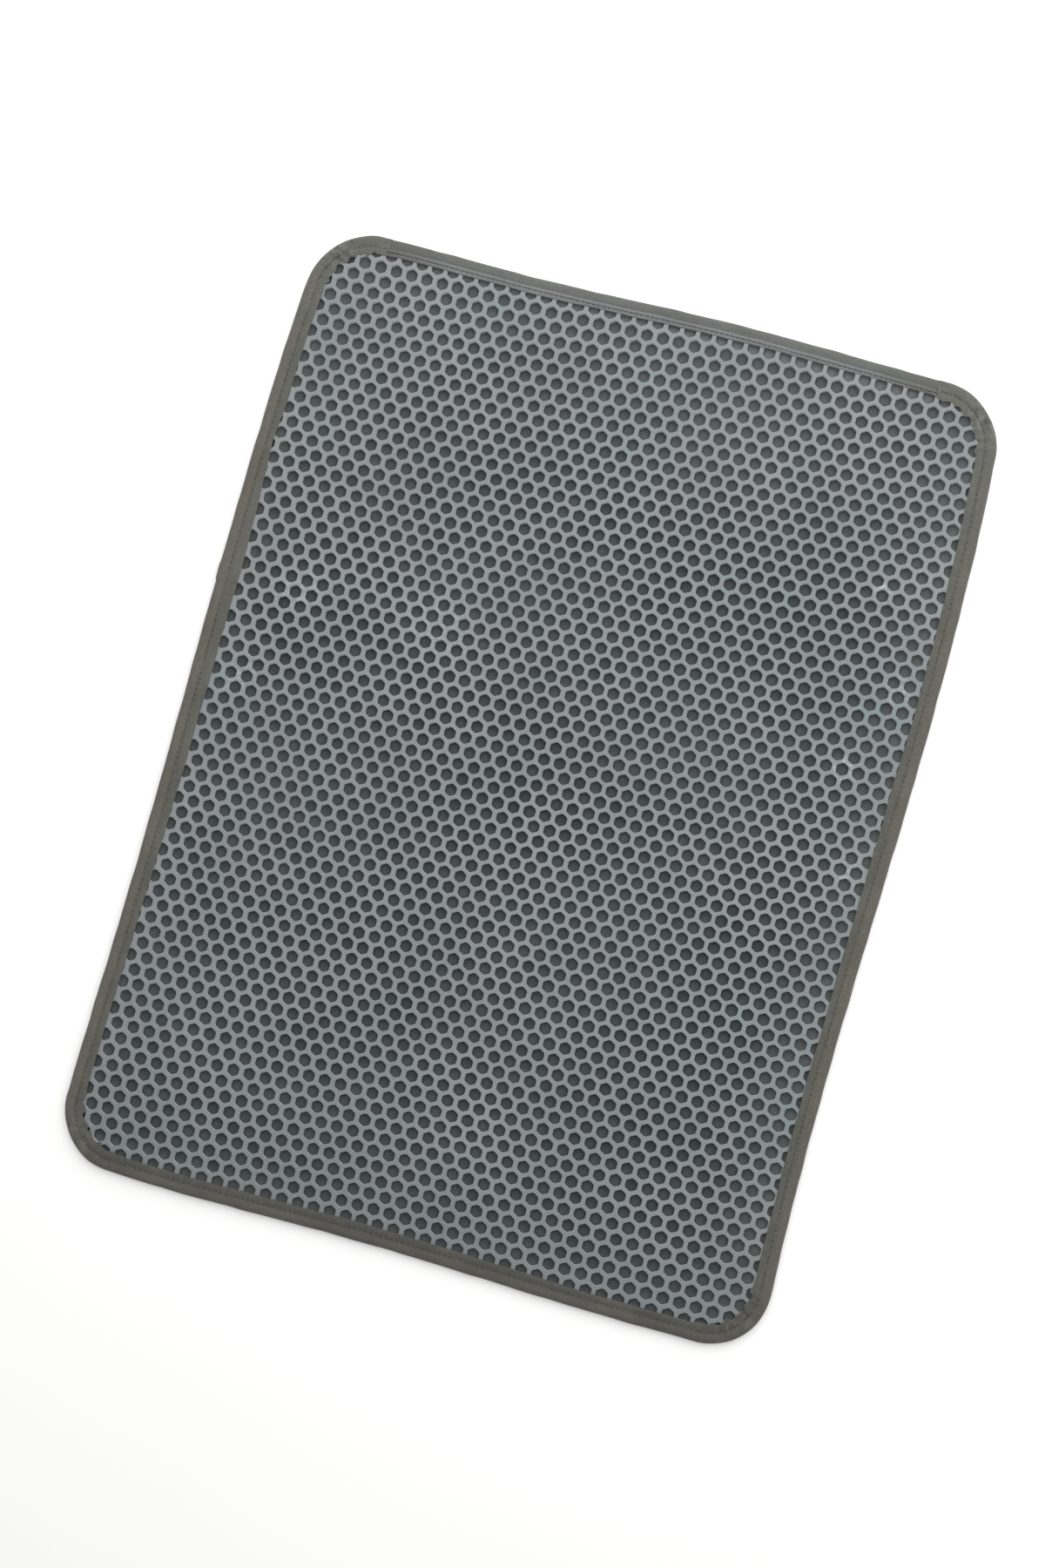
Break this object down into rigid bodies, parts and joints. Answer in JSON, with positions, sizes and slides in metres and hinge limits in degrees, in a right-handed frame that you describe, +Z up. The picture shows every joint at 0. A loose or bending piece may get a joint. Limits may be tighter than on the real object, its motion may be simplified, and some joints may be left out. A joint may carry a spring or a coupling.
{
  "type": "honeycomb trapping mat",
  "caption": "Rounded rectangular floor mat: a perforated honeycomb foam sheet over a plain foam sheet, bound in stitched fabric tape and open along an end to empty it.",
  "frame": {"origin": "middle of the underside, on the floor the mat lies on", "axes": "+Y along the length, towards the open end; +X across the width; +Z up through the thickness"},
  "size_m": [0.446, 0.603, 0.0063],
  "materials": {
    "honeycomb_foam": "light bluish-grey closed-cell foam, matte, faintly grained",
    "base_foam": "dark slate closed-cell foam, matte",
    "binding_fabric": "taupe-grey woven tape, matte, folded over the edge",
    "seam_thread": "taupe-grey sewing thread, slight sheen"
  },
  "bodies": {
    "mat": {"base_sheet": "base_foam", "honeycomb_sheet": "honeycomb_foam", "edge_binding": "binding_fabric", "lower_lip_binding": "binding_fabric", "edge_needle_thread": "seam_thread", "edge_bobbin_thread": "seam_thread", "lower_lip_needle_thread": "seam_thread", "lower_lip_bobbin_thread": "seam_thread"},
    "mouth_flap": {"honeycomb_mouth_flap": "honeycomb_foam", "upper_lip_binding": "binding_fabric", "upper_lip_needle_thread": "seam_thread", "upper_lip_bobbin_thread": "seam_thread"}
  },
  "joints": [
    {"name": "mouth_lift", "type": "hinge", "parent": "mat", "child": "mouth_flap", "pos_m": [0, 0.1465, 0.0053], "axis": [1, 0, 0], "range_deg": [0, 12]}
  ]
}
